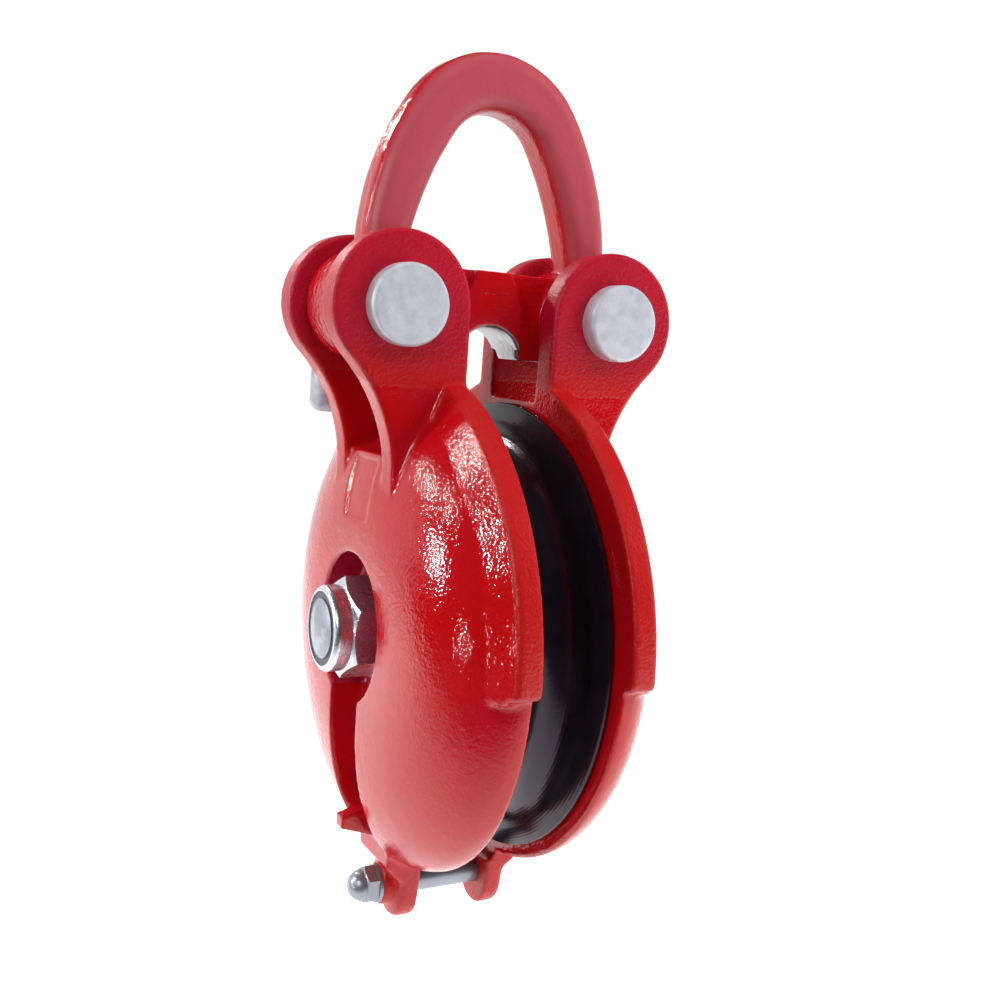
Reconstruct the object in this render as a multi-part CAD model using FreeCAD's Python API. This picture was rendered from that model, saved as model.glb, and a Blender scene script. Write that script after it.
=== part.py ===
import FreeCAD, Part
import math
import os
from FreeCAD import Vector

# Snatch block: two cheeks around one sheave, each pinned to a bail by a clevis.
# Millimetres. X runs along the sheave axle, Y along the bail pins, Z is up.
# The origin is the centre of the sheave. The near cheek is at -X.

# Sheave
sheave_radius = 105.0
sheave_half_width = 19.0
rope_groove_radius = 14.0
rope_groove_centre = 97.5
sheave_lip = 1.2
sheave_hub_radius = 40.0
sheave_web_half = 8.0
sheave_rim_inner = 76.0
sheave_web_round = 5.0

# Axle and its bearing
axle_radius = 13.5
sleeve_radius = 17.0
bush_radius = 22.0
running_gap = 0.06
hole_gap = 0.08
thrust_radius = 32.0
thrust_play = 0.05

# Cheek casting
face_x = 20.5
low_radius = 111.5
dome_edge_x = 22.0
dome_height = 55.5
dome_flat = 43.0
rim_rise = 6.8
rim_width = 11.0
shoulder_run = 11.0
shoulder_drop = 25.5
rim_end_z = -3.0
rim_end_round = 4.0
rim_end_flat = 0.4
rim_edge_round = 2.5
recess_radius = 34.0
recess_floor = 38.0
channel_half = 15.5
channel_depth = 16.0
channel_foot_depth = 8.0
pad_depth = 1.5
shell_wall = 9.0
pocket_inner = 46.0
pocket_outer = 97.0
pocket_web_half = 24.0
pocket_top = 55.0
pad_half = 13.3
pad_low = 50.0
pad_high = 78.0

# Ears of the cheek's clevis
pin_x = 52.0
pin_z = 145.0
ear_radius = 31.5
clevis_half = 21.0
ear_thickness = 14.0
neck_radius = 74.0
neck_angle = 225.0
ear_root_z = 40.0
clevis_floor_high = 109.0
clevis_floor_mid = 87.0
clevis_floor_low = 78.0
clevis_floor_end_x = 66.5
ear_edge_round = 1.5

# Fin and tie lug at the foot of the cheek
fin_half = 4.0
fin_tip_x = 54.0
fin_tip_z = -92.0
fin_tip_round = 3.0
fin_height = 24.0
fin_root_x = 26.0
lug_inner_x = 17.5
lug_thickness = 10.0
lug_root_x = 36.0
lug_end_radius = 14.0
lug_end_drop = 2.5
lug_flare_angle = 10.0
lug_round = 3.0
lug_boss_radius = 10.0
lug_boss_height = 5.5
tie_drop = 14.0

# Bail
bow_half = 12.0
bow_outer_radius = 47.0
bow_outer_rise = 3.0
bow_outer_lean = 34.0
bow_outer_leg_radius = 128.0
bow_inner_radius = 24.0
bow_inner_z = 210.0
bow_inner_lean = 31.0
bow_inner_leg_radius = 158.0
bow_foot_z = 152.0
bow_round = 8.0
eye_radius = 25.0
eye_half = 18.0
bar_half = 10.0
bar_top_z = 164.0
bar_bottom_z = 125.0
bar_corner_round = 11.0
block_half = 14.0
block_top_half_width = 9.0
block_half_width = 15.5
block_shoulder_z = 148.0
arch_radius = 16.3
arch_z = 123.0

# Bail pins with a drop nose
pin_radius = 12.5
pin_head_radius = 17.2
pin_head_height = 8.5
pin_head_round = 2.0
nose_radius = 10.5
nose_play = 0.7
nose_end_round = 5.0
nose_reach = 50.5
tongue_half = 4.5
tongue_radius = 9.5
tongue_gap = 0.25
rivet_radius = 3.5
rivet_head_radius = 5.0
rivet_head_height = 1.2

# Nuts, washers and heads
hex_chamfer_angle = 30.0
hex_face_share = 0.95
axle_flats = 41.0
axle_head_height = 17.0
axle_nut_height = 18.0
collar_radius = 19.5
collar_height = 8.0
collar_round = 2.5
insert_radius = 16.8
insert_length = 4.5
insert_setback = 0.6
axle_end_beyond = 2.5
axle_end_dome = 2.4
axle_washer_radius = 25.0
axle_washer_thickness = 4.0
tie_radius = 5.0
tie_flats = 16.0
tie_nut_hex = 6.0
tie_nut_length = 13.0
tie_cap_radius = 7.5
tie_head_radius = 9.2
tie_head_setback = 0.3
tie_socket_flats = 6.0
tie_socket_depth = 3.2
tie_washer_radius = 9.0
tie_washer_thickness = 1.6
tie_spacer_radius = 6.4

rim_radius = low_radius + rim_rise
ear_outer = clevis_half + ear_thickness
lug_outer_x = lug_inner_x + lug_thickness
tie_seat_x = lug_outer_x + lug_boss_height
tie_z = -(low_radius + tie_drop)
bow_outer_z = bow_inner_z + bow_outer_rise
axis_x = Vector(1, 0, 0)
axis_y = Vector(0, 1, 0)
reach = 4 * rim_radius


def line(a, b):
    return Part.LineSegment(a, b).toShape()


def arc(a, b, c):
    return Part.Arc(a, b, c).toShape()


def flat_face(edges):
    return Part.Face(Part.Wire(Part.__sortEdges__(edges)))


def polygon(points):
    return flat_face([line(a, b) for a, b in zip(points, points[1:] + points[:1])])


def box(low, high):
    size = high - low
    return Part.makeBox(size.x, size.y, size.z, low)


def rod_x(radius, start, end, y=0.0, z=0.0):
    return Part.makeCylinder(radius, end - start, Vector(start, y, z), axis_x)


def rod_y(radius, start, end, x, z):
    return Part.makeCylinder(radius, end - start, Vector(x, start, z), axis_y)


def ring_x(outer, inner, start, end, z=0.0):
    return rod_x(outer, start, end, z=z).cut(rod_x(inner, start, end, z=z))


def turned_about_x(edges):
    return flat_face(edges).revolve(Vector(0, 0, 0), axis_x, 360)


def hexagon_x(flats, start, end, z=0.0):
    corner = flats / math.sqrt(3)
    points = []
    for i in range(6):
        angle = math.radians(60 * i + 90)
        points.append(Vector(start, corner * math.cos(angle), z + corner * math.sin(angle)))
    return polygon(points).extrude(Vector(end - start, 0, 0))


def rounded(shape, radius, chosen):
    edges = [edge for edge in shape.Edges if chosen(edge)]
    return shape.makeFillet(radius, edges)


# A solid of the cheek's domed outside, drawn in by one depth at the crown and one at the foot.
def dome_solid(crown_depth=0.0, foot_depth=0.0):
    low = low_radius - foot_depth
    top = dome_height - crown_depth
    start = Vector(-dome_edge_x, low, 0)
    crown = Vector(-top, dome_flat, 0)
    ellipse = Part.Ellipse(start, crown, Vector(-dome_edge_x, dome_flat, 0))
    edges = [
        line(Vector(-face_x, 0, 0), Vector(-face_x, low, 0)),
        line(Vector(-face_x, low, 0), start),
        Part.ArcOfEllipse(ellipse, 0, math.pi / 2).toShape(),
        line(crown, Vector(-top, 0, 0)),
        line(Vector(-top, 0, 0), Vector(-face_x, 0, 0)),
    ]
    return turned_about_x(edges)


# The raised rim over the upper half, with a sloped shoulder down to the dome.
def rim_band():
    rim_x = face_x + rim_width
    profile = polygon([
        Vector(-face_x, pocket_inner, 0),
        Vector(-face_x, rim_radius, 0),
        Vector(-rim_x, rim_radius, 0),
        Vector(-rim_x - shoulder_run, rim_radius - shoulder_drop, 0),
        Vector(-rim_x - shoulder_run, pocket_inner, 0),
    ])
    ring = profile.revolve(Vector(0, 0, 0), axis_x, 360)
    ring = rounded(ring, rim_edge_round, lambda edge: is_ring(edge, -rim_x, rim_radius))
    half = rod_x(rim_radius, -reach, 0)
    half = half.cut(box(Vector(-reach, -reach, -reach), Vector(0, reach, rim_end_z)))
    corner_y = math.sqrt(rim_radius ** 2 - rim_end_z ** 2)
    half = rounded(half, rim_end_round, lambda edge: is_along_x(edge, corner_y, rim_end_z))
    foot_round = rim_radius - low_radius - rim_end_round - rim_end_flat
    foot_y = low_radius + foot_round
    foot_z = rim_end_z - foot_round
    foot = box(Vector(-reach, -foot_y, foot_z), Vector(0, foot_y, rim_end_z))
    for side in (-1, 1):
        foot = foot.cut(rod_x(foot_round, -reach, 0, y=side * foot_y, z=foot_z))
    return ring.common(half.fuse(foot))


def is_ring(edge, x, radius):
    curve = edge.Curve
    if not isinstance(curve, Part.Circle):
        return False
    return abs(curve.Radius - radius) < 0.01 and abs(curve.Center.x - x) < 0.01


def is_along_x(edge, y, z):
    middle = edge.CenterOfMass
    if edge.BoundBox.XLength < 1:
        return False
    return abs(abs(middle.y) - y) < 0.01 and abs(middle.z - z) < 0.01


# The outline of one ear: round head, straight inner edge, hollow outer neck.
def ear_outline(y):
    inner_x = -(pin_x - ear_radius)
    angle = math.radians(neck_angle)
    out = Vector(math.cos(angle), 0, math.sin(angle))
    head = Vector(-pin_x, y, pin_z)
    join = head + out * ear_radius
    neck = join + out * neck_radius
    half_turn = (neck_angle - 180) / 2
    middle = Vector(math.cos(math.radians(half_turn)), 0, math.sin(math.radians(half_turn)))
    foot = neck + Vector(neck_radius, 0, 0)
    edges = [
        line(Vector(inner_x, y, ear_root_z), Vector(inner_x, y, pin_z)),
        arc(Vector(inner_x, y, pin_z), head + Vector(0, 0, ear_radius), join),
        arc(join, neck + middle * neck_radius, foot),
        line(foot, Vector(foot.x, y, ear_root_z)),
        line(Vector(foot.x, y, ear_root_z), Vector(inner_x, y, ear_root_z)),
    ]
    return flat_face(edges)


def ear(side):
    y = clevis_half if side > 0 else -ear_outer
    plate = ear_outline(y).extrude(Vector(0, ear_thickness, 0))
    return rounded(plate, ear_edge_round, lambda edge: is_ear_edge(edge))


def is_ear_edge(edge):
    return edge.BoundBox.YLength < 0.01 and edge.BoundBox.ZMax > ear_root_z + 0.01


# The rising floor of the clevis between the ears.
def clevis_cut():
    y = -clevis_half
    inner = Vector(0, y, clevis_floor_high)
    high = Vector(-face_x, y, clevis_floor_high)
    middle = Vector(-(face_x + pin_x) / 2, y, clevis_floor_mid)
    low = Vector(-clevis_floor_end_x, y, clevis_floor_low)
    edges = [
        line(inner, high),
        arc(high, middle, low),
        line(low, Vector(-reach, y, clevis_floor_low)),
        line(Vector(-reach, y, clevis_floor_low), Vector(-reach, y, reach)),
        line(Vector(-reach, y, reach), Vector(0, y, reach)),
        line(Vector(0, y, reach), inner),
    ]
    return flat_face(edges).extrude(Vector(0, 2 * clevis_half, 0))


def strip(half, low_z, high_z):
    return box(Vector(-reach, -half, low_z), Vector(-face_x, half, high_z))


def pockets():
    hollow = dome_solid(shell_wall, shell_wall).common(ring_x(pocket_outer, pocket_inner, -reach, -face_x))
    hollow = hollow.cut(strip(pocket_web_half, -reach, reach))
    return hollow.cut(box(Vector(-reach, -reach, pocket_top), Vector(0, reach, reach)))


def fin():
    profile = polygon([
        Vector(-fin_root_x, -fin_half, fin_tip_z + fin_height / 2),
        Vector(-fin_tip_x, -fin_half, fin_tip_z + fin_tip_round),
        Vector(-fin_tip_x, -fin_half, fin_tip_z - fin_tip_round),
        Vector(-fin_root_x, -fin_half, fin_tip_z - fin_height / 2),
    ])
    return profile.extrude(Vector(0, 2 * fin_half, 0))


# The tongue that carries the tie, seen along X: flared sides and a round end.
def lug_outline():
    angle = math.radians(lug_flare_angle)
    end_z = tie_z - lug_end_drop
    side_y = lug_end_radius * math.cos(angle)
    side_z = end_z - lug_end_radius * math.sin(angle)
    root_y = side_y + (fin_tip_z - side_z) * math.tan(angle)
    sides = [Vector(0, y, side_z) for y in (-side_y, side_y)]
    roots = [Vector(0, y, fin_tip_z) for y in (-root_y, root_y)]
    edges = [
        arc(sides[0], Vector(0, 0, end_z - lug_end_radius), sides[1]),
        line(sides[1], roots[1]),
        line(roots[1], roots[0]),
        line(roots[0], sides[0]),
    ]
    return flat_face(edges)


def lug():
    waist_z = -low_radius
    profile = polygon([
        Vector(-face_x, -reach, fin_tip_z),
        Vector(-face_x, -reach, waist_z),
        Vector(-lug_inner_x, -reach, waist_z - (face_x - lug_inner_x)),
        Vector(-lug_inner_x, -reach, -reach),
        Vector(-lug_outer_x, -reach, -reach),
        Vector(-lug_outer_x, -reach, waist_z - (lug_root_x - lug_outer_x)),
        Vector(-lug_root_x, -reach, waist_z),
        Vector(-lug_root_x, -reach, fin_tip_z),
    ])
    block = profile.extrude(Vector(0, 2 * reach, 0)).common(lug_outline().extrude(Vector(-reach, 0, 0)))
    return rounded(block, lug_round, lambda edge: is_lug_edge(edge))


def is_lug_edge(edge):
    bounds = edge.BoundBox
    outer = bounds.XLength < 0.01 and abs(bounds.XMin + lug_outer_x) < 0.01
    return outer and bounds.ZLength > 1


def cheek():
    body = dome_solid().fuse(rim_band())
    for side in (-1, 1):
        body = body.fuse(ear(side))
    pad = strip(pad_half, pad_low, pad_high).cut(dome_solid(pad_depth, pad_depth))
    channel = strip(channel_half, -reach, 0).cut(dome_solid(channel_depth, channel_foot_depth))
    body = body.cut(clevis_cut()).cut(pad).cut(channel).cut(pockets())
    body = body.fuse(fin()).fuse(lug())
    body = body.cut(rod_x(recess_radius, -reach, -recess_floor))
    body = body.cut(rod_x(axle_radius + hole_gap, -reach, 0))
    return body.cut(rod_y(pin_radius + hole_gap, -reach, reach, -pin_x, pin_z))


def near_cheek():
    body = cheek().fuse(rod_x(lug_boss_radius, -tie_seat_x, -lug_outer_x, z=tie_z))
    return body.cut(rod_x(tie_radius + hole_gap, -reach, 0, z=tie_z)).removeSplitter()


# The same casting turned half round, with a sink for the head of the tie bolt instead of a boss.
def far_cheek():
    body = cheek()
    body.rotate(Vector(0, 0, 0), Vector(0, 0, 1), 180)
    return body.cut(sunk_rod(hole_gap, reach)).removeSplitter()


# The tie bolt's shank and sunk head, drawn out by a gap.
def sunk_rod(gap, length):
    height = tie_head_radius - tie_radius
    head_x = lug_outer_x - tie_head_setback
    foot = Vector(head_x - height, 0, tie_z)
    cone = Part.makeCone(tie_radius + gap, tie_head_radius + gap, height, foot, axis_x)
    outside = rod_x(tie_head_radius + gap, head_x, lug_outer_x, z=tie_z)
    return cone.fuse(outside).fuse(rod_x(tie_radius + gap, head_x - length, head_x, z=tie_z))


# Half profile of the sheave, mirrored to both sides.
def sheave():
    edges = []
    for side in (-1, 1):
        corners = [
            Vector(side * rope_groove_radius, rope_groove_centre, 0),
            Vector(side * (sheave_half_width - sheave_lip), sheave_radius, 0),
            Vector(side * sheave_half_width, sheave_radius, 0),
            Vector(side * sheave_half_width, sheave_rim_inner + sheave_web_half, 0),
            Vector(side * sheave_web_half, sheave_rim_inner, 0),
            Vector(side * sheave_web_half, sheave_hub_radius + sheave_web_round, 0),
            Vector(side * sheave_half_width, sheave_hub_radius, 0),
            Vector(side * sheave_half_width, bush_radius, 0),
        ]
        edges += [line(a, b) for a, b in zip(corners, corners[1:])]
    left = Vector(-rope_groove_radius, rope_groove_centre, 0)
    bottom = Vector(0, rope_groove_centre - rope_groove_radius, 0)
    right = Vector(rope_groove_radius, rope_groove_centre, 0)
    edges.append(arc(left, bottom, right))
    edges.append(line(Vector(-sheave_half_width, bush_radius, 0), Vector(sheave_half_width, bush_radius, 0)))
    return turned_about_x(edges)


def sheave_bush():
    return ring_x(bush_radius, sleeve_radius + running_gap, -sheave_half_width, sheave_half_width)


def axle_sleeve():
    return ring_x(sleeve_radius, axle_radius + hole_gap, -face_x, face_x)


def thrust_washer(side):
    start = sheave_half_width + thrust_play
    end = face_x - thrust_play
    if side < 0:
        start, end = -end, -start
    return ring_x(thrust_radius, sleeve_radius + running_gap, start, end)


def axle_washer(side):
    start = recess_floor
    end = recess_floor + axle_washer_thickness
    if side < 0:
        start, end = -end, -start
    return ring_x(axle_washer_radius, axle_radius + hole_gap, start, end)


# A hexagon whose corners are cut back by a cone at its free end.
def chamfered_hex(flats, seat, end, z=0.0):
    hexagon = hexagon_x(flats, min(seat, end), max(seat, end), z)
    face_radius = flats / 2 * hex_face_share
    spread = flats
    drop = spread * math.tan(math.radians(hex_chamfer_angle))
    direction = axis_x if end < seat else -axis_x
    cone = Part.makeCone(face_radius, face_radius + spread, drop, Vector(end, 0, z), direction)
    below = cone.BoundBox.XMax if end < seat else cone.BoundBox.XMin
    stem = Part.makeCylinder(face_radius + spread, reach, Vector(below, 0, z), direction)
    return hexagon.common(cone.fuse(stem))


# The low dome that ends the axle bolt, cut from a sphere.
def domed_tip(radius, height, tip):
    sphere_radius = (radius ** 2 + height ** 2) / (2 * height)
    sphere = Part.makeSphere(sphere_radius, Vector(tip + sphere_radius, 0, 0))
    return rod_x(radius, tip, tip + height).common(sphere)


def axle_bolt():
    head_seat = recess_floor + axle_washer_thickness
    tip = -(head_seat + axle_nut_height + collar_height + axle_end_beyond)
    shank = rod_x(axle_radius, tip + axle_end_dome, head_seat)
    shank = shank.fuse(domed_tip(axle_radius, axle_end_dome, tip))
    return shank.fuse(chamfered_hex(axle_flats, head_seat, head_seat + axle_head_height))


def axle_nut():
    seat = -(recess_floor + axle_washer_thickness)
    hex_end = seat - axle_nut_height
    end = hex_end - collar_height
    nut = chamfered_hex(axle_flats, seat, hex_end)
    collar = rod_x(collar_radius, end, hex_end)
    collar = rounded(collar, collar_round, lambda edge: is_ring(edge, end, collar_radius))
    nut = nut.fuse(collar)
    nut = nut.cut(rod_x(axle_radius + hole_gap, end, seat))
    return nut.cut(rod_x(insert_radius, end, end + insert_length))


def axle_nut_insert():
    end = -(recess_floor + axle_washer_thickness + axle_nut_height + collar_height)
    return ring_x(insert_radius, axle_radius + hole_gap, end + insert_setback, end + insert_length)


# The bow's inner or outer outline from foot to foot: a crown arc and two long leg arcs.
def bow_edges(radius, centre_z, lean, leg_radius, y):
    angle = math.radians(lean)
    centre = Vector(0, y, centre_z)
    edges = []
    joins = []
    feet = []
    for side in (-1, 1):
        normal = Vector(side * math.cos(angle), 0, math.sin(angle))
        join = centre + normal * radius
        leg_centre = join - normal * leg_radius
        rise = [join.z, (join.z + bow_foot_z) / 2, bow_foot_z]
        along = [math.sqrt(leg_radius ** 2 - (z - leg_centre.z) ** 2) for z in rise]
        points = [Vector(leg_centre.x + side * x, y, z) for x, z in zip(along, rise)]
        edges.append(arc(points[0], points[1], points[2]))
        joins.append(points[0])
        feet.append(points[2])
    edges.append(arc(joins[0], centre + Vector(0, 0, radius), joins[1]))
    return edges, feet


def bow():
    outer, outer_feet = bow_edges(bow_outer_radius, bow_outer_z, bow_outer_lean, bow_outer_leg_radius, -bow_half)
    inner, inner_feet = bow_edges(bow_inner_radius, bow_inner_z, bow_inner_lean, bow_inner_leg_radius, -bow_half)
    ends = [line(a, b) for a, b in zip(outer_feet, inner_feet)]
    solid = flat_face(outer + inner + ends).extrude(Vector(0, 2 * bow_half, 0))
    return rounded(solid, bow_round, lambda edge: is_bow_edge(edge))


def is_bow_edge(edge):
    return edge.BoundBox.YLength < 0.01 and edge.BoundBox.ZMax > bow_foot_z + 1


def crossbar():
    bar = box(Vector(-pin_x, -bar_half, bar_bottom_z), Vector(pin_x, bar_half, bar_top_z))
    block = polygon([
        Vector(-block_top_half_width, -block_half, bar_top_z),
        Vector(-block_half_width, -block_half, block_shoulder_z),
        Vector(-block_half_width, -block_half, bar_bottom_z),
        Vector(block_half_width, -block_half, bar_bottom_z),
        Vector(block_half_width, -block_half, block_shoulder_z),
        Vector(block_top_half_width, -block_half, bar_top_z),
    ]).extrude(Vector(0, 2 * block_half, 0))
    arch = rod_y(arch_radius, -block_half, block_half, 0, arch_z)
    return bar.fuse(block).cut(arch)


def bail():
    body = bow().fuse(crossbar())
    for side in (-1, 1):
        body = body.fuse(rod_y(eye_radius, -eye_half, eye_half, side * pin_x, pin_z))
    for side in (-1, 1):
        body = body.cut(rod_y(pin_radius + hole_gap, -reach, reach, side * pin_x, pin_z))
    body = body.removeSplitter()
    return rounded(body, bar_corner_round, lambda edge: is_bar_corner(edge))


# The inner corner where the crossbar's top meets a leg of the bow.
def is_bar_corner(edge):
    middle = edge.CenterOfMass
    along_y = edge.BoundBox.YLength > bar_half and edge.BoundBox.ZLength < 0.01
    return along_y and abs(middle.z - bar_top_z) < 0.01 and abs(middle.x) > block_half_width


def bail_pin(side):
    x = side * pin_x
    head = rod_y(pin_head_radius, -ear_outer - pin_head_height, -ear_outer, x, pin_z)
    front = head.BoundBox.YMin
    head = rounded(head, pin_head_round, lambda edge: abs(edge.BoundBox.YMax - front) < 0.01)
    shank = rod_y(pin_radius, -ear_outer, ear_outer, x, pin_z)
    rivet_y = ear_outer + nose_play + nose_radius
    tongue = rod_along_x(tongue_radius, tongue_half, x, rivet_y)
    web = box(Vector(x - tongue_half, ear_outer, pin_z - tongue_radius),
              Vector(x + tongue_half, rivet_y, pin_z + tongue_radius))
    hole = rod_along_x(rivet_radius + hole_gap, tongue_half, x, rivet_y)
    return head.fuse(shank).fuse(tongue.fuse(web).cut(hole))


def rod_along_x(radius, half, x, y):
    return Part.makeCylinder(radius, 2 * half, Vector(x - half, y, pin_z), axis_x)


# The drop nose hangs from the rivet and turns up in line with the pin, where its heel stops it.
def pin_nose(side):
    x = side * pin_x
    y = ear_outer + nose_play + nose_radius
    end_z = pin_z - nose_reach
    body = Part.makeCylinder(nose_radius, nose_reach + nose_radius, Vector(x, y, end_z))
    body = rounded(body, nose_end_round, lambda edge: edge.BoundBox.ZMax < end_z + 1)
    cap = rod_along_x(nose_radius, nose_radius, x, y)
    below = box(Vector(x - reach, y - reach, pin_z - reach), Vector(x + reach, y + reach, pin_z))
    heel = box(Vector(x - reach, y, pin_z), Vector(x + reach, y + reach, pin_z + nose_radius))
    body = body.common(cap.fuse(below).fuse(heel))
    slot_half = tongue_half + tongue_gap
    slot_floor = pin_z - tongue_radius - tongue_gap
    slot = box(Vector(x - slot_half, y - nose_radius, pin_z),
               Vector(x + slot_half, y + nose_radius, pin_z + nose_radius))
    slot = slot.fuse(box(Vector(x - slot_half, y - nose_radius, slot_floor),
                         Vector(x + slot_half, y + nose_radius, pin_z)))
    body = body.cut(slot)
    return body.cut(rod_along_x(rivet_radius, nose_radius, x, y))


def nose_rivet(side):
    x = side * pin_x
    y = ear_outer + nose_play + nose_radius
    rivet = rod_along_x(rivet_radius, nose_radius, x, y)
    for end in (-1, 1):
        head = Part.makeCylinder(rivet_head_radius, rivet_head_height,
                                 Vector(x + end * nose_radius, y, pin_z), axis_x * end)
        rivet = rivet.fuse(head)
    return rivet


def tie_spacer():
    return ring_x(tie_spacer_radius, tie_radius + hole_gap, -lug_inner_x, lug_inner_x, z=tie_z)


def near_tie_washer():
    outer_x = tie_seat_x + tie_washer_thickness
    return ring_x(tie_washer_radius, tie_radius + hole_gap, -outer_x, -tie_seat_x, z=tie_z)


def tie_bolt():
    head_x = lug_outer_x - tie_head_setback
    length = head_x + tie_seat_x + tie_washer_thickness + tie_nut_hex
    bolt = sunk_rod(0, length).cut(rod_x(tie_head_radius, head_x, lug_outer_x, z=tie_z))
    return bolt.cut(hexagon_x(tie_socket_flats, head_x - tie_socket_depth, head_x, tie_z))


def tie_nut():
    seat = -(tie_seat_x + tie_washer_thickness)
    hex_end = seat - tie_nut_hex
    nut = chamfered_hex(tie_flats, seat, hex_end, tie_z)
    cap_centre = seat - tie_nut_length + tie_cap_radius
    cap = Part.makeSphere(tie_cap_radius, Vector(cap_centre, 0, tie_z))
    nut = nut.fuse(cap.common(rod_x(tie_cap_radius, seat - tie_nut_length, hex_end, z=tie_z)))
    return nut.cut(rod_x(tie_radius + hole_gap, hex_end - hole_gap, seat, z=tie_z))


def all_parts():
    parts = {
        "near_cheek": near_cheek(),
        "far_cheek": far_cheek(),
        "sheave": sheave(),
        "sheave_bush": sheave_bush(),
        "axle_sleeve": axle_sleeve(),
        "axle_bolt": axle_bolt(),
        "axle_nut": axle_nut(),
        "axle_nut_insert": axle_nut_insert(),
        "bail": bail(),
        "tie_bolt": tie_bolt(),
        "tie_nut": tie_nut(),
        "tie_spacer": tie_spacer(),
        "near_tie_washer": near_tie_washer(),
    }
    for name, side in (("near", -1), ("far", 1)):
        parts[name + "_thrust_washer"] = thrust_washer(side)
        parts[name + "_axle_washer"] = axle_washer(side)
        parts[name + "_pin"] = bail_pin(side)
        parts[name + "_nose"] = pin_nose(side)
        parts[name + "_nose_rivet"] = nose_rivet(side)
    return parts


os.makedirs("parts", exist_ok=True)
for name, shape in all_parts().items():
    shape.exportStep("parts/" + name + ".step")
    print(name, shape.isValid(), len(shape.Solids), round(shape.Volume / 1000, 1), "cm3")
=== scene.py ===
import math

import bmesh
import bpy
from bpy.props import FloatProperty, FloatVectorProperty, IntProperty, PointerProperty
from mathutils import Matrix, Vector


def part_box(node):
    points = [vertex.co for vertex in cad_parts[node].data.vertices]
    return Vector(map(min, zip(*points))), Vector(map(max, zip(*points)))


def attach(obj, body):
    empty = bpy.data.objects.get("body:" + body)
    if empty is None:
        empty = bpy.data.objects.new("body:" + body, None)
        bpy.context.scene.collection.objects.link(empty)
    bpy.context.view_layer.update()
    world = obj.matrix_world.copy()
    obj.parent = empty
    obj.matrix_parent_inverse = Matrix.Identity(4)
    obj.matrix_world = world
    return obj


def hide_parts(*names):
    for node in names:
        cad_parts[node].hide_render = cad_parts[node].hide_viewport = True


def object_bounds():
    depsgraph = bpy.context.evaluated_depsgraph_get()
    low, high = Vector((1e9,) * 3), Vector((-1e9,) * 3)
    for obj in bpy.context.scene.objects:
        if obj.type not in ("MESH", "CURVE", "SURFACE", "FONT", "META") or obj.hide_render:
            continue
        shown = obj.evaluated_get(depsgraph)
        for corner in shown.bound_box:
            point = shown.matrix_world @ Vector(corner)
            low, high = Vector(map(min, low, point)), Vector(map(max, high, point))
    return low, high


bl_info = {
    "name": "Snatch Block",
    "version": (1, 0, 0),
    "blender": (4, 5, 0),
    "location": "View3D > Sidebar > Snatch Block",
    "description": "Dresses the packed snatch block: castings, sheave, pins, hardware and studio",
    "category": "Object",
}

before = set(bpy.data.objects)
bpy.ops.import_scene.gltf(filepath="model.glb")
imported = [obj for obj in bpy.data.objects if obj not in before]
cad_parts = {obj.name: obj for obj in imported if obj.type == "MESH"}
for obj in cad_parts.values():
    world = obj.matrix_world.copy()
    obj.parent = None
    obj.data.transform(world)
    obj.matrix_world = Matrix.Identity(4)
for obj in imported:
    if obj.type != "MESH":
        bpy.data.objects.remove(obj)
cad_low, cad_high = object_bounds()

SIDES = ("near", "far")
AXLE = (0.0, 0.0, 0.0)
ACROSS_AXLE = (0.0, 1.0, 1.0)

# Where one finish gives way to another, in metres: where the change starts and where it is complete
RIM_PAINT = (0.1155, 0.1175)
EAR_PAINT = (0.105, 0.13)
# The hub's recess takes painted shade, a deeper and bluer red, from the first radius to the second
RECESS_SHADE = (0.0352, 0.0346)
BOW_PAINT = (0.166, 0.176)
BOW_FRONT_Y = -0.012
BOW_FRONT = (0.006, 0.002)
ARCH_CENTRE = (0.0, 0.0, 0.123)
ARCH_WEAR = (0.0176, 0.0168)
# The same for how squarely an ear's surface faces along its pin, from 0 to 1
EAR_FACE = (0.6, 0.85)

# The turning rings of the sheave, as the radians that their sine goes through per metre of radius
RING_RADIANS_PER_METRE = 5200.0

# Rectangular lamps round the block: azimuth and elevation in degrees, distance, width and height in
# metres, power in watts, and whether the glossy paint shows the lamp
LAMPS = {
    "tall_strip": (157, 8, 1.5, 0.035, 0.24, 6.0, True),
    "left_streak": (147, 23, 1.5, 0.016, 0.22, 2.6, True),
    "right_streak": (164, 27, 1.5, 0.014, 0.3, 2.8, True),
    "low_spot": (180, -5, 1.5, 0.02, 0.1, 1.2, True),
    "back_left_box": (112, 36, 1.5, 0.1, 0.16, 6.0, True),
    "front_left_box": (-150, 24, 1.6, 0.1, 0.3, 6.0, True),
    "right_box": (-35, 35, 1.7, 0.7, 0.7, 13.5, False),
    "front_box": (-100, 55, 1.8, 0.8, 0.8, 13.0, False),
    "low_box": (-65, -5, 1.6, 0.8, 0.2, 4.0, False),
    "top_box": (60, 80, 1.5, 1.0, 1.0, 7.0, False),
}

CAMERA_PLACE = (-0.2466, -0.4907, 0.1280)
CAMERA_RIGHT = (0.8819, -0.4657, 0.0728)
CAMERA_AHEAD = (0.4714, 0.8732, -0.1234)
CAMERA_LENS_MM = 42.42
CAMERA_SENSOR_MM = 36.0

FLOOR_RADIUS = 6.0
# The way towards the white half of the floor and of the sky, as an azimuth in degrees
FLOOR_WHITE_AZIMUTH = 40
SKY_WHITE_AZIMUTH = 62
SKY_WHITE = (1.04, 1.04, 1.04, 1.0)
BLACK = (0.0, 0.0, 0.0, 1.0)
WHITE = (1.0, 1.0, 1.0, 1.0)


# Sizes and colours that a user would change

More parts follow.
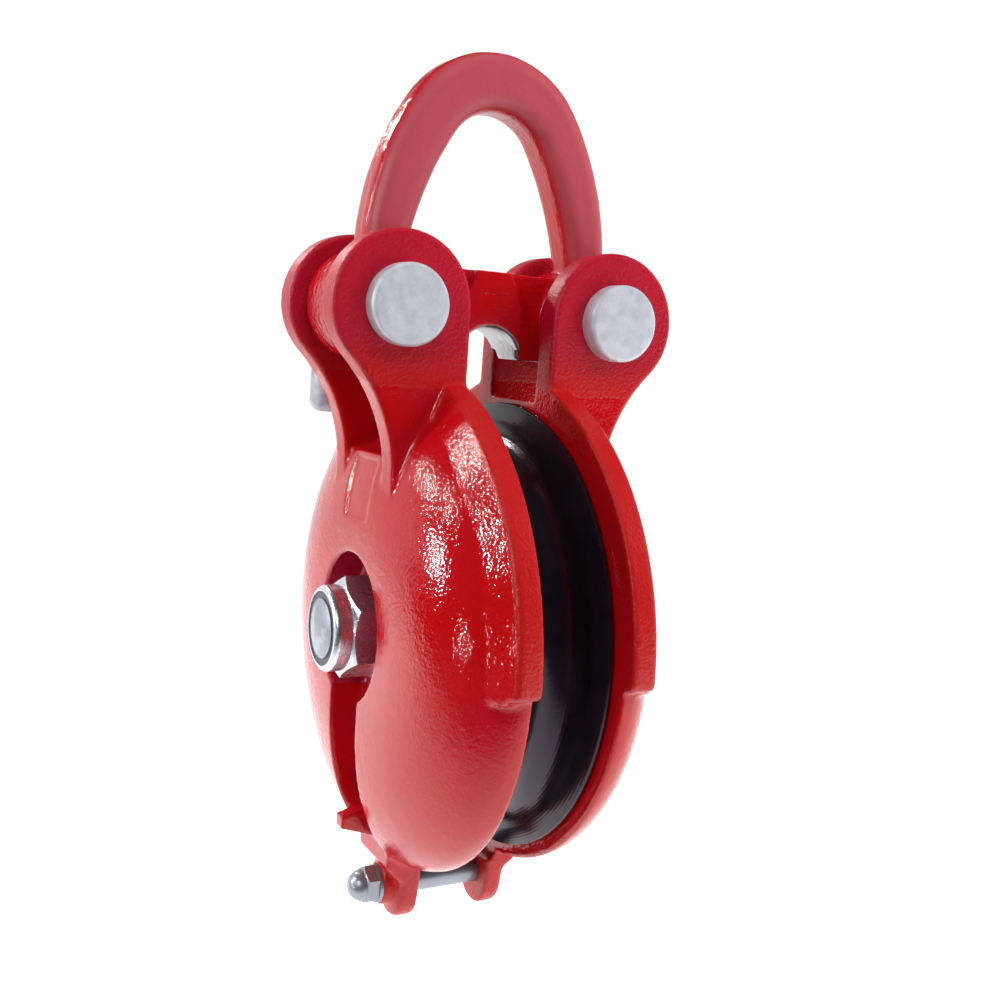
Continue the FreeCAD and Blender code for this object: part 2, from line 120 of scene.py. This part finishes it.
class BlockSizes(bpy.types.PropertyGroup):
    cast_cell: FloatProperty(
        name="Casting cell", description="Size of the cells that the castings are rebuilt from",
        default=0.001, min=0.0006, max=0.004, subtype="DISTANCE", unit="LENGTH")
    cast_rounding: IntProperty(
        name="Casting rounding", description="Smoothing steps that round the castings' edges",
        default=9, min=0, max=40)
    cast_wave: FloatProperty(
        name="Casting wave", description="Height of the slow waves of a sand-cast surface",
        default=0.00025, min=0.0, max=0.002, subtype="DISTANCE", unit="LENGTH")
    cast_grain: FloatProperty(
        name="Casting grain", description="Height of the grain that the sand leaves",
        default=0.0001, min=0.0, max=0.001, subtype="DISTANCE", unit="LENGTH")
    forge_wave: FloatProperty(
        name="Forging wave", description="Height of the hammer waves on the bail",
        default=0.0004, min=0.0, max=0.002, subtype="DISTANCE", unit="LENGTH")
    turned_steps: IntProperty(
        name="Turned steps", description="Steps round each turned piece",
        default=160, min=24, max=512)
    sheave_radius: FloatProperty(
        name="Sheave radius", description="Radius of the sheave over its lips",
        default=0.105, min=0.05, max=0.2, subtype="DISTANCE", unit="LENGTH")
    sheave_half_width: FloatProperty(
        name="Sheave half width", description="Half of the sheave's width",
        default=0.019, min=0.01, max=0.05, subtype="DISTANCE", unit="LENGTH")
    groove_radius: FloatProperty(
        name="Groove radius", description="Radius of the rope groove's round bottom",
        default=0.014, min=0.004, max=0.03, subtype="DISTANCE", unit="LENGTH")
    groove_centre: FloatProperty(
        name="Groove centre", description="How far the groove's round lies from the axle",
        default=0.0975, min=0.05, max=0.2, subtype="DISTANCE", unit="LENGTH")
    sheave_lip: FloatProperty(
        name="Sheave lip", description="Width of the flat lip beside the groove",
        default=0.0012, min=0.0005, max=0.01, subtype="DISTANCE", unit="LENGTH")
    hub_radius: FloatProperty(
        name="Hub radius", description="Radius of the sheave's hub",
        default=0.04, min=0.025, max=0.07, subtype="DISTANCE", unit="LENGTH")
    hub_bore: FloatProperty(
        name="Hub bore", description="Radius of the hub's bore, which holds the bush",
        default=0.022, min=0.01, max=0.04, subtype="DISTANCE", unit="LENGTH")
    web_half: FloatProperty(
        name="Half web", description="Half of the thickness of the sheave's web",
        default=0.008, min=0.002, max=0.02, subtype="DISTANCE", unit="LENGTH")
    rim_inside: FloatProperty(
        name="Rim inside", description="Radius at which the web meets the sheave's rim",
        default=0.076, min=0.04, max=0.15, subtype="DISTANCE", unit="LENGTH")
    broken_edge: FloatProperty(
        name="Broken edge", description="How far the sheave's sharp corners are taken off",
        default=0.0004, min=0.0001, max=0.001, subtype="DISTANCE", unit="LENGTH")
    pin_head_radius: FloatProperty(
        name="Pin head radius", description="Radius of the pins' heads",
        default=0.0172, min=0.01, max=0.03, subtype="DISTANCE", unit="LENGTH")
    pin_head_height: FloatProperty(
        name="Pin head height", description="Thickness of the pins' heads",
        default=0.0085, min=0.004, max=0.02, subtype="DISTANCE", unit="LENGTH")
    pin_head_round: FloatProperty(
        name="Pin head rounding", description="Radius of the heads' front edge",
        default=0.002, min=0.0005, max=0.004, subtype="DISTANCE", unit="LENGTH")
    floor_drop: FloatProperty(
        name="Floor drop", description="How far the studio floor lies under the block",
        default=0.12, min=0.0, max=1.0, subtype="DISTANCE", unit="LENGTH")


class BlockColours(bpy.types.PropertyGroup):
    paint: FloatVectorProperty(
        name="Paint", description="Red enamel of the cheeks and the bail",
        default=(0.48, 0.003, 0.0035), size=3, min=0.0, max=1.0, subtype="COLOR")
    # A deeper, bluer red: painted shade in the cheeks' hub recess, also laid on the ears, and random pools
    # of thicker enamel
    paint_shade_and_pool: FloatVectorProperty(
        name="Paint in hollows", description="Red where the enamel runs thick",
        default=(0.4, 0.006, 0.03), size=3, min=0.0, max=1.0, subtype="COLOR")
    paint_rim: FloatVectorProperty(
        name="Paint on the rims", description="Thin, duller enamel on the rims of the cheeks",
        default=(0.45, 0.006, 0.006), size=3, min=0.0, max=1.0, subtype="COLOR")
    paint_chalk: FloatVectorProperty(
        name="Chalky paint", description="Enamel that has gone dull on the bow of the bail",
        default=(0.44, 0.066, 0.084), size=3, min=0.0, max=1.0, subtype="COLOR")
    sheave: FloatVectorProperty(
        name="Sheave", description="Black finish of the sheave",
        default=(0.007, 0.005, 0.008), size=3, min=0.0, max=1.0, subtype="COLOR")
    sheave_dusty: FloatVectorProperty(
        name="Dusty sheave", description="Black finish of the sheave where dust has settled",
        default=(0.014, 0.01, 0.015), size=3, min=0.0, max=1.0, subtype="COLOR")
    zinc: FloatVectorProperty(
        name="Zinc", description="Bright zinc of pins, nuts and bolts",
        default=(0.68, 0.71, 0.77), size=3, min=0.0, max=1.0, subtype="COLOR")
    # Darker zinc: random dulled patches, and painted shade laid over whole pieces
    zinc_dull_and_shaded: FloatVectorProperty(
        name="Dull zinc", description="Zinc where handling has dulled it",
        default=(0.3, 0.32, 0.36), size=3, min=0.0, max=1.0, subtype="COLOR")
    bronze: FloatVectorProperty(
        name="Bronze", description="Bearing bronze",
        default=(0.5, 0.3, 0.12), size=3, min=0.0, max=1.0, subtype="COLOR")
    steel: FloatVectorProperty(
        name="Steel", description="Ground steel",
        default=(0.42, 0.42, 0.43), size=3, min=0.0, max=1.0, subtype="COLOR")
    nylon: FloatVectorProperty(
        name="Locking ring", description="Moulded ring in the axle's nut",
        default=(0.09, 0.1, 0.12), size=3, min=0.0, max=1.0, subtype="COLOR")
    floor: FloatVectorProperty(
        name="Floor", description="White half of the studio floor",
        default=(0.9, 0.9, 0.9), size=3, min=0.0, max=1.0, subtype="COLOR")
    floor_dark: FloatVectorProperty(
        name="Dark floor", description="Dark half of the studio floor",
        default=(0.07, 0.06, 0.075), size=3, min=0.0, max=1.0, subtype="COLOR")
    floor_scuffed: FloatVectorProperty(
        name="Scuffed floor", description="Scuffs on the dark half of the studio floor",
        default=(0.1, 0.1, 0.1), size=3, min=0.0, max=1.0, subtype="COLOR")
    sky_dark: FloatVectorProperty(
        name="Dark backdrop", description="Backdrop in front of the block and above it",
        default=(0.05, 0.045, 0.06), size=3, min=0.0, max=1.0, subtype="COLOR")


# Shader maths

class Value:
    """An output of a shader node. Arithmetic on it adds Math nodes."""

    def __init__(self, tree, socket):
        self.tree = tree
        self.socket = socket

    def math(self, operation, *inputs):
        return node(self.tree, "ShaderNodeMath", {"operation": operation}, dict(enumerate(inputs)))

    def __add__(self, other):
        return self.math("ADD", self, other)

    def __radd__(self, other):
        return self.math("ADD", other, self)

    def __sub__(self, other):
        return self.math("SUBTRACT", self, other)

    def __rsub__(self, other):
        return self.math("SUBTRACT", other, self)

    def __mul__(self, other):
        return self.math("MULTIPLY", self, other)

    def __rmul__(self, other):
        return self.math("MULTIPLY", other, self)

    def __abs__(self):
        return self.math("ABSOLUTE", self)

    def sine(self):
        return self.math("SINE", self)

    def larger(self, other):
        return self.math("MAXIMUM", self, other)

    def limit(self, low, high):
        """Stretched so that low becomes 0 and high becomes 1, and cut off outside."""
        inputs = {"Value": self, "From Min": low, "From Max": high}
        return node(self.tree, "ShaderNodeMapRange", {"clamp": True}, inputs)


def node(tree, kind, settings=None, inputs=None, output=0):
    """Adds a node, sets its settings, then its sockets, and gives one of its outputs."""
    added = tree.nodes.new(kind)
    for key, value in (settings or {}).items():
        setattr(added, key, value)
    for key, value in (inputs or {}).items():
        if isinstance(value, Value):
            tree.links.new(value.socket, added.inputs[key])
        else:
            added.inputs[key].default_value = value
    return Value(tree, added.outputs[output])


def place(tree, scale=(1.0, 1.0, 1.0)):
    """A point of the piece's own space, stretched by scale."""
    point = node(tree, "ShaderNodeTexCoord", output="Object")
    return node(tree, "ShaderNodeMapping", {"vector_type": "POINT"}, {"Vector": point, "Scale": scale})


def noise(tree, size, detail=3.0, rough=0.5, stretch=(1.0, 1.0, 1.0), twist=0.0):
    """Noise whose spots are about size metres wide."""
    inputs = {"Vector": place(tree, stretch), "Scale": 1.0 / size, "Detail": detail, "Roughness": rough,
              "Distortion": twist}
    return node(tree, "ShaderNodeTexNoise", {"noise_dimensions": "3D"}, inputs)


def blend(tree, factor, first, second):
    """Mixes two colours. The sockets for colours are the seventh and the eighth of the node."""
    return node(tree, "ShaderNodeMix", {"data_type": "RGBA"}, {0: factor, 6: first, 7: second}, 2)


def relief(tree, height, depth, below=None):
    """A bump of the given depth in metres, over another bump."""
    inputs = {"Height": height, "Distance": depth, "Strength": 1.0}
    if below is not None:
        inputs["Normal"] = below
    return node(tree, "ShaderNodeBump", {}, inputs)


def opaque(colour):
    return tuple(colour) + (1.0,)


def axis_of(tree, vector, axis):
    """One coordinate of a vector: 0, 1 or 2 for X, Y or Z."""
    return node(tree, "ShaderNodeSeparateXYZ", {}, {0: vector}, axis)


def reach_from(tree, centre, scale):
    """How far a point lies from the centre, with each axis counted by its scale."""
    offset = node(tree, "ShaderNodeVectorMath", {"operation": "SUBTRACT"}, {0: place(tree), 1: centre})
    offset = node(tree, "ShaderNodeVectorMath", {"operation": "MULTIPLY"}, {0: offset, 1: scale})
    return node(tree, "ShaderNodeVectorMath", {"operation": "LENGTH"}, {0: offset}, "Value")


def reach_along(tree, vector, way):
    """How far a vector reaches along a way."""
    return node(tree, "ShaderNodeVectorMath", {"operation": "DOT_PRODUCT"}, {0: vector, 1: way}, "Value")


def direction(azimuth, elevation=0):
    """The unit vector from the block towards an azimuth and an elevation in degrees."""
    turn, rise = math.radians(azimuth), math.radians(elevation)
    return Vector((math.cos(turn) * math.cos(rise), math.sin(turn) * math.cos(rise), math.sin(rise)))


# Finishes

def finish(name, sockets):
    """A material whose surface gets the given sockets of the shader."""
    material = bpy.data.materials.new(name)
    material.use_nodes = True
    tree = material.node_tree
    shader = tree.nodes["Principled BSDF"]
    for key, value in sockets(tree).items():
        if isinstance(value, Value):
            tree.links.new(value.socket, shader.inputs[key])
        else:
            shader.inputs[key].default_value = value
    return material


def cheek_enamel(name):
    """Thick glossy enamel over sand-cast grain, thinner and dull on the rims and the ears' faces, with
    painted shade in the hub's recess.
    """
    colours = bpy.context.scene.block_colours

    def sockets(tree):
        pool = noise(tree, 0.03, 2.0).limit(0.35, 0.7)
        grain = noise(tree, 0.0014, 1.0, 0.5)
        ripple = noise(tree, 0.008, 3.0, 0.5, twist=0.5)
        from_axle = reach_from(tree, AXLE, ACROSS_AXLE)
        rim = from_axle.limit(*RIM_PAINT)
        recess = from_axle.limit(*RECESS_SHADE)
        ears = axis_of(tree, place(tree), 2).limit(*EAR_PAINT)
        facing = abs(axis_of(tree, node(tree, "ShaderNodeTexCoord", output="Normal"), 1))
        dull = rim.larger(ears * facing.limit(*EAR_FACE))
        # Deeper, bluer red: painted shade in the hub's recess, the same red at 0.7 on the ears, and random
        # pools of thicker enamel
        shade_ears_and_pool = recess.larger(0.7 * ears).larger(0.3 * pool)
        colour = blend(tree, shade_ears_and_pool, opaque(colours.paint), opaque(colours.paint_shade_and_pool))
        colour = blend(tree, rim * (1.0 - ears), colour, opaque(colours.paint_rim))
        bumps = relief(tree, ripple, 0.00015)
        bumps = relief(tree, grain * (1.0 + dull), 0.00016, bumps)
        return {
            "Base Color": colour,
            "Roughness": 0.06 + 0.04 * pool + 0.32 * dull,
            "Specular IOR Level": 0.44,
            "Specular Tint": (1.0, 0.95, 0.9, 1.0),
            "Normal": bumps,
        }

    return finish(name, sockets)


def bail_enamel(name):
    """Enamel with hammer streaks along the bow and the crossbar, rubbed off inside the arch."""
    colours = bpy.context.scene.block_colours

    def sockets(tree):
        bow = axis_of(tree, place(tree), 2).limit(*BOW_PAINT)
        arch = reach_from(tree, ARCH_CENTRE, (1.0, 0.0, 1.0)).limit(*ARCH_WEAR)
        pool = noise(tree, 0.02, 2.0).limit(0.35, 0.7)
        front = reach_from(tree, (0.0, BOW_FRONT_Y, 0.0), (0.0, 1.0, 0.0)).limit(*BOW_FRONT)
        rise = noise(tree, 0.0024, 3.0, 0.5, (1.0, 1.0, 0.14))
        along = noise(tree, 0.0026, 3.0, 0.5, (0.2, 1.0, 1.0))
        streaks = rise * bow * (1.0 - front) + along * (1.0 - bow)
        grain = noise(tree, 0.0016, 2.0)
        chalk = bow * front
        colour = blend(tree, 0.5 * pool, opaque(colours.paint), opaque(colours.paint_shade_and_pool))
        colour = blend(tree, chalk, colour, opaque(colours.paint_chalk))
        colour = blend(tree, arch, colour, opaque(colours.steel))
        bumps = relief(tree, streaks, 0.0004)
        bumps = relief(tree, grain, 0.0001, bumps)
        return {
            "Base Color": colour,
            "Metallic": 0.9 * arch,
            "Roughness": 0.12 + 0.3 * chalk + 0.2 * arch + 0.04 * pool,
            "Normal": bumps,
        }

    return finish(name, sockets)


def black_sheave(name):
    """Satin black over the rings that turning leaves."""
    colours = bpy.context.scene.block_colours

    def sockets(tree):
        rings = (RING_RADIANS_PER_METRE * reach_from(tree, AXLE, ACROSS_AXLE)).sine()
        cloud = noise(tree, 0.02, 4.0)
        dust = noise(tree, 0.0012, 3.0).limit(0.62, 0.75)
        dusty = 0.6 * cloud.limit(0.4, 0.7) + 0.2 * dust
        bumps = relief(tree, rings, 0.000008)
        bumps = relief(tree, noise(tree, 0.0016, 3.0), 0.00004, bumps)
        return {
            "Base Color": blend(tree, dusty, opaque(colours.sheave), opaque(colours.sheave_dusty)),
            "Roughness": 0.15 + 0.08 * cloud.limit(0.3, 0.7),
            "Specular IOR Level": 0.42,
            "Specular Tint": (0.92, 0.76, 0.97, 1.0),
            "Normal": bumps,
        }

    return finish(name, sockets)


def zinc_plate(name, metallic, rough, painted_shade=0.0):
    """Zinc plating with its grain and dulled patches, darker all over with more painted shade."""
    colours = bpy.context.scene.block_colours

    def sockets(tree):
        patch = noise(tree, 0.006, 4.0, 0.6).limit(0.38, 0.66)
        grain = noise(tree, 0.0012, 3.0, 0.6)
        bumps = relief(tree, grain, 0.0001)
        bumps = relief(tree, noise(tree, 0.005, 2.0), 0.0002, bumps)
        return {
            "Base Color": blend(tree, painted_shade + 0.35 * patch, opaque(colours.zinc), opaque(colours.zinc_dull_and_shaded)),
            "Metallic": metallic,
            "Roughness": rough + 0.1 * patch,
            "Normal": bumps,
        }

    return finish(name, sockets)


def bare_metal(name, colour, rough, metallic=1.0):
    """Machined metal or a plain moulding, with fine tool marks."""

    def sockets(tree):
        marks = noise(tree, 0.0009, 3.0, 0.6, (1.0, 0.2, 1.0))
        patch = noise(tree, 0.008, 3.0).limit(0.4, 0.68)
        dark = tuple(0.62 * part for part in colour)
        return {
            "Base Color": blend(tree, 0.6 * patch, opaque(colour), opaque(dark)),
            "Metallic": metallic,
            "Roughness": rough + 0.12 * marks,
            "Normal": relief(tree, marks, 0.00005),
        }

    return finish(name, sockets)


# Pieces and meshes

def dress(mesh, material):
    """Gives a mesh one material in place of those that it has."""
    mesh.materials.clear()
    mesh.materials.append(material)


def dress_nodes(finishes):
    """Gives each CAD node that stays in view its material."""
    for name, material in finishes.items():
        dress(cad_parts[name].data, material)


def new_piece(name, mesh):
    piece = bpy.data.objects.new(name, mesh)
    bpy.context.scene.collection.objects.link(piece)
    return piece


def add_piece(name, mesh, body, material):
    """Adds a piece of the block with its material and the body that it rides on."""
    dress(mesh, material)
    piece = new_piece(name, mesh)
    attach(piece, body)
    return piece


def cast_mesh(node_name, name, waves):
    """The solid rebuilt in fine cells, its edges rounded and its surface made uneven.

    Each wave is its label, the size of its bumps and their height.
    """
    sizes = bpy.context.scene.block_sizes
    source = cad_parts[node_name]
    work = new_piece("work_" + name, source.data.copy())
    work.matrix_world = source.matrix_world
    cells = work.modifiers.new("cells", "REMESH")
    cells.mode = "VOXEL"
    cells.voxel_size = sizes.cast_cell
    rounding = work.modifiers.new("rounding", "SMOOTH")
    rounding.factor = 0.5
    rounding.iterations = sizes.cast_rounding
    for label, size, height in waves:
        texture = bpy.data.textures.new(name + "_" + label, "CLOUDS")
        texture.noise_scale = size
        texture.noise_depth = 2
        wave = work.modifiers.new(label, "DISPLACE")
        wave.texture = texture
        wave.texture_coords = "LOCAL"
        wave.strength = height
        wave.mid_level = 0.5
    graph = bpy.context.evaluated_depsgraph_get()
    graph.update()
    mesh = bpy.data.meshes.new_from_object(work.evaluated_get(graph))
    mesh.name = name
    mesh.transform(work.matrix_world)
    mesh.shade_smooth()
    bpy.data.objects.remove(work)
    return mesh


def turned_mesh(name, profile, sharp_from=30.0):
    """A profile of (along X, radius) points turned about X, closed where it meets the axis.

    Edges sharper than sharp_from degrees stay sharp.
    """
    steps = bpy.context.scene.block_sizes.turned_steps
    shape = bmesh.new()
    rings = []
    for along, radius in profile:
        if radius < 1e-7:
            rings.append([shape.verts.new((along, 0.0, 0.0))])
            continue
        ring = []
        for i in range(steps):
            angle = 2 * math.pi * i / steps
            ring.append(shape.verts.new((along, radius * math.cos(angle), radius * math.sin(angle))))
        rings.append(ring)
    closed = len(rings[0]) > 1
    for first, second in zip(rings, rings[1:] + rings[:1] if closed else rings[1:]):
        for i in range(steps):
            j = (i + 1) % steps
            corners = [first[i % len(first)], first[j % len(first)], second[j % len(second)],
                       second[i % len(second)]]
            unique = list(dict.fromkeys(corners))
            if len(unique) > 2:
                shape.faces.new(unique)
    bmesh.ops.recalc_face_normals(shape, faces=shape.faces)
    mesh = bpy.data.meshes.new(name)
    shape.to_mesh(mesh)
    shape.free()
    mesh.shade_smooth()
    mesh.set_sharp_from_angle(angle=math.radians(sharp_from))
    return mesh


def round_corner(centre_along, centre_radius, radius, start, end, steps=6):
    """Profile points on part of a circle, with angles in degrees from +X towards the outside."""
    points = []
    for i in range(steps + 1):
        angle = math.radians(start + (end - start) * i / steps)
        points.append((centre_along + radius * math.cos(angle), centre_radius + radius * math.sin(angle)))
    return points


# Operators

class BLOCK_OT_cheeks(bpy.types.Operator):
    """Rebuild both cheek castings with rounded edges and a cast surface"""
    bl_idname = "block.cheeks"
    bl_label = "Cheeks"

    def execute(self, context):
        sizes = context.scene.block_sizes
        paint = cheek_enamel("cheek_enamel")
        waves = (("wave", 0.03, sizes.cast_wave), ("grain", 0.0035, sizes.cast_grain))
        for side in SIDES:
            cheek = side + "_cheek"
            name = cheek + "_casting"
            piece = add_piece(name, cast_mesh(cheek, name, waves), "frame", paint)
            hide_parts(cheek)
        return {"FINISHED"}


class BLOCK_OT_bail(bpy.types.Operator):
    """Rebuild the forged bail with rounded edges and a forged surface"""
    bl_idname = "block.bail"
    bl_label = "Bail"

    def execute(self, context):
        sizes = context.scene.block_sizes
        paint = bail_enamel("bail_enamel")
        waves = (("wave", 0.012, sizes.forge_wave), ("grain", 0.0035, sizes.cast_grain))
        mesh = cast_mesh("bail", "bail_forging", waves)
        piece = add_piece("bail_forging", mesh, "frame", paint)
        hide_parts("bail")
        return {"FINISHED"}


class BLOCK_OT_sheave(bpy.types.Operator):
    """Turn the sheave with its rope groove, lips and web"""
    bl_idname = "block.sheave"
    bl_label = "Sheave"

    def execute(self, context):
        sizes = context.scene.block_sizes
        groove = round_corner(0.0, sizes.groove_centre, sizes.groove_radius, 180, 360, 32)
        face, top, edge = sizes.sheave_half_width, sizes.sheave_radius, sizes.broken_edge
        lip = face - sizes.sheave_lip
        corner, web_round, hub_draft = 0.001, 0.002, 0.005
        side = [
            (lip - edge, top - 0.75 * edge),
            (lip + edge / 2, top),
            (face - edge, top),
            (face, top - edge),
            (face, sizes.rim_inside + sizes.web_half + corner),
            (face - corner, sizes.rim_inside + sizes.web_half),
            (sizes.web_half + web_round, sizes.rim_inside + web_round),
            (sizes.web_half, sizes.rim_inside - web_round),
            (sizes.web_half, sizes.hub_radius + hub_draft),
            (face - corner, sizes.hub_radius + corner),
            (face, sizes.hub_radius - corner),
            (face, sizes.hub_bore),
        ]
        mirrored = [(-along, radius) for along, radius in reversed(side)]
        mesh = turned_mesh("sheave_turned", mirrored + groove + side, 35.0)
        piece = add_piece("sheave_turned", mesh, "sheave", black_sheave("satin_black"))
        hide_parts("sheave")
        return {"FINISHED"}


class BLOCK_OT_pins(bpy.types.Operator):
    """Finish the pins, the drop noses and their rivets, and turn the pins' rounded heads"""
    bl_idname = "block.pins"
    bl_label = "Pins and drop noses"

    def execute(self, context):
        sizes = context.scene.block_sizes
        zinc = zinc_plate("pin_zinc", 0.3, 0.42)
        # The drop noses and their rivets take darker zinc as painted shade
        shaded_zinc = zinc_plate("nose_zinc", 0.3, 0.45, 0.65)
        radius, height, rounding = sizes.pin_head_radius, sizes.pin_head_height, sizes.pin_head_round
        dish, back_edge, proud = 0.0002, 0.0003, 0.00005
        profile = [(dish, 0.0), (0.0, radius * 0.5)]
        profile += round_corner(rounding, radius - rounding, rounding, 180, 90)
        profile += [(height - back_edge, radius), (height, radius - back_edge), (height, 0.0)]
        for side in SIDES:
            pin = side + "_pin"
            low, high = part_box(pin)
            middle = Matrix.Translation(((low[0] + high[0]) / 2, low[1] - proud, (low[2] + high[2]) / 2))
            mesh = turned_mesh(pin + "_head", profile)
            mesh.transform(middle @ Matrix.Rotation(math.pi / 2, 4, "Z"))
            add_piece(pin + "_head", mesh, pin, zinc)
            dress_nodes({pin: zinc, side + "_nose": shaded_zinc, side + "_nose_rivet": shaded_zinc})
        return {"FINISHED"}


class BLOCK_OT_axle(bpy.types.Operator):
    """Finish the axle bolt, its nut with the locking ring, and the washers"""
    bl_idname = "block.axle"
    bl_label = "Axle hardware"

    def execute(self, context):
        zinc = zinc_plate("nut_zinc", 0.95, 0.24)
        # The axle bolt takes darker zinc as painted shade
        shaded_zinc = zinc_plate("bolt_zinc", 0.9, 0.34, 0.8)
        nylon = bare_metal("moulded_ring", tuple(context.scene.block_colours.nylon), 0.45, 0.0)
        dress_nodes({"axle_bolt": shaded_zinc, "axle_nut": zinc, "near_axle_washer": zinc, "far_axle_washer": zinc,
                     "axle_nut_insert": nylon})
        return {"FINISHED"}


class BLOCK_OT_tie(bpy.types.Operator):
    """Finish the tie bolt, its cap nut, the washer and the spacer"""
    bl_idname = "block.tie"
    bl_label = "Tie hardware"

    def execute(self, context):
        # The tie hardware takes the darker zinc all over, as painted shade
        zinc = zinc_plate("tie_zinc", 0.7, 0.3, 1.0)
        dress_nodes({"tie_bolt": zinc, "tie_nut": zinc, "tie_spacer": zinc, "near_tie_washer": zinc})
        return {"FINISHED"}


class BLOCK_OT_bearing(bpy.types.Operator):
    """Finish the hidden bearing: bush, sleeve and thrust washers"""
    bl_idname = "block.bearing"
    bl_label = "Bearing"

    def execute(self, context):
        colours = context.scene.block_colours
        bronze = bare_metal("bearing_bronze", tuple(colours.bronze), 0.28)
        steel = bare_metal("ground_steel", tuple(colours.steel), 0.2)
        dress_nodes({"sheave_bush": bronze, "near_thrust_washer": bronze, "far_thrust_washer": bronze,
                     "axle_sleeve": steel})
        return {"FINISHED"}


class BLOCK_OT_stage(bpy.types.Operator):
    """Build the studio: floor, lights, backdrop and camera"""
    bl_idname = "block.stage"
    bl_label = "Studio"

    def execute(self, context):
        self.floor(context)
        self.lights(context)
        self.backdrop(context)
        self.camera(context)
        return {"FINISHED"}

    def floor(self, context):
        """A round floor, white behind the block, where it also glows as painted light that grows stronger
        further out, and dark in front of it.
        """
        colours = context.scene.block_colours
        mesh = bpy.data.meshes.new("studio_floor")
        shape = bmesh.new()
        bmesh.ops.create_circle(shape, cap_ends=True, radius=FLOOR_RADIUS, segments=96)
        shape.to_mesh(mesh)
        shape.free()
        floor = new_piece("studio_floor", mesh)
        floor.location = (0.0, 0.0, cad_low[2] - context.scene.block_sizes.floor_drop)

        def sockets(tree):
            point = node(tree, "ShaderNodeTexCoord", output="Object")
            white = reach_along(tree, point, direction(FLOOR_WHITE_AZIMUTH)).limit(-0.48, -0.15)
            far = reach_from(tree, (0.0, 0.0, 0.0), (1.0, 1.0, 0.0)).limit(0.4, 1.6)
            # The white half glows as painted light, more strongly further out
            glow = blend(tree, white * (0.7 + 0.3 * far), BLACK, WHITE)
            scuffs = 0.05 * noise(tree, 0.4, 2.0)
            dark = blend(tree, scuffs, opaque(colours.floor_dark), opaque(colours.floor_scuffed))
            return {
                "Base Color": blend(tree, white, dark, opaque(colours.floor)),
                "Roughness": 0.9,
                "Specular IOR Level": 0.1,
                "Emission Color": glow,
                "Emission Strength": 0.9,
            }

        dress(mesh, finish("studio_floor", sockets))

    def lights(self, context):
        for name, (azimuth, elevation, distance, width, height, power, in_gloss) in LAMPS.items():
            light = bpy.data.lights.new(name, "AREA")
            light.shape = "RECTANGLE"
            light.size = width
            light.size_y = height
            light.energy = power
            lamp = bpy.data.objects.new(name, light)
            way = direction(azimuth, elevation)
            lamp.location = way * distance
            lamp.visible_glossy = in_gloss
            lamp.rotation_euler = (-way).to_track_quat("-Z", "Y").to_euler()
            context.scene.collection.objects.link(lamp)

    def backdrop(self, context):
        """White behind the block up to half height, and dim in front of it and above."""
        world = bpy.data.worlds.new("studio")
        world.use_nodes = True
        tree = world.node_tree
        way = node(tree, "ShaderNodeTexCoord", output="Generated")
        behind = reach_along(tree, way, direction(SKY_WHITE_AZIMUTH)).limit(0.1, 0.18)
        low = axis_of(tree, way, 2).limit(0.42, 0.3)
        colour = blend(tree, behind * low, opaque(context.scene.block_colours.sky_dark), SKY_WHITE)
        tree.links.new(colour.socket, tree.nodes["Background"].inputs["Color"])
        context.scene.world = world

    def camera(self, context):
        lens = bpy.data.cameras.new("camera")
        lens.sensor_width = CAMERA_SENSOR_MM
        lens.lens = CAMERA_LENS_MM
        lens.clip_start = 0.01
        camera = bpy.data.objects.new("camera", lens)
        right = Vector(CAMERA_RIGHT).normalized()
        ahead = Vector(CAMERA_AHEAD).normalized()
        up = right.cross(ahead).normalized()
        right = ahead.cross(up).normalized()
        turn = Matrix((right, up, -ahead)).transposed().to_4x4()
        camera.matrix_world = Matrix.Translation(CAMERA_PLACE) @ turn
        context.scene.collection.objects.link(camera)
        context.scene.camera = camera
        context.scene.view_settings.view_transform = "Standard"


class BLOCK_PT_panel(bpy.types.Panel):
    """Lists the steps that dress the block, and its sizes and colours"""
    bl_idname = "BLOCK_PT_panel"
    bl_label = "Snatch Block"
    bl_space_type = "VIEW_3D"
    bl_region_type = "UI"
    bl_category = "Snatch Block"

    def draw(self, context):
        column = self.layout.column()
        for operator in OPERATORS:
            column.operator(operator.bl_idname)
        for group in (context.scene.block_sizes, context.scene.block_colours):
            for name in group.bl_rna.properties.keys():
                if name not in ("rna_type", "name"):
                    column.prop(group, name)


OPERATORS = (BLOCK_OT_cheeks, BLOCK_OT_bail, BLOCK_OT_sheave, BLOCK_OT_pins, BLOCK_OT_axle, BLOCK_OT_tie,
             BLOCK_OT_bearing, BLOCK_OT_stage)
CLASSES = (BlockSizes, BlockColours) + OPERATORS + (BLOCK_PT_panel,)


def register():
    for item in CLASSES:
        bpy.utils.register_class(item)
    bpy.types.Scene.block_sizes = PointerProperty(type=BlockSizes)
    bpy.types.Scene.block_colours = PointerProperty(type=BlockColours)


def unregister():
    del bpy.types.Scene.block_colours
    del bpy.types.Scene.block_sizes
    for item in reversed(CLASSES):
        bpy.utils.unregister_class(item)


def main():
    register()
    bpy.ops.block.cheeks()
    bpy.ops.block.bail()
    bpy.ops.block.sheave()
    bpy.ops.block.pins()
    bpy.ops.block.axle()
    bpy.ops.block.tie()
    bpy.ops.block.bearing()
    bpy.ops.block.stage()


if __name__ == "__main__":
    main()
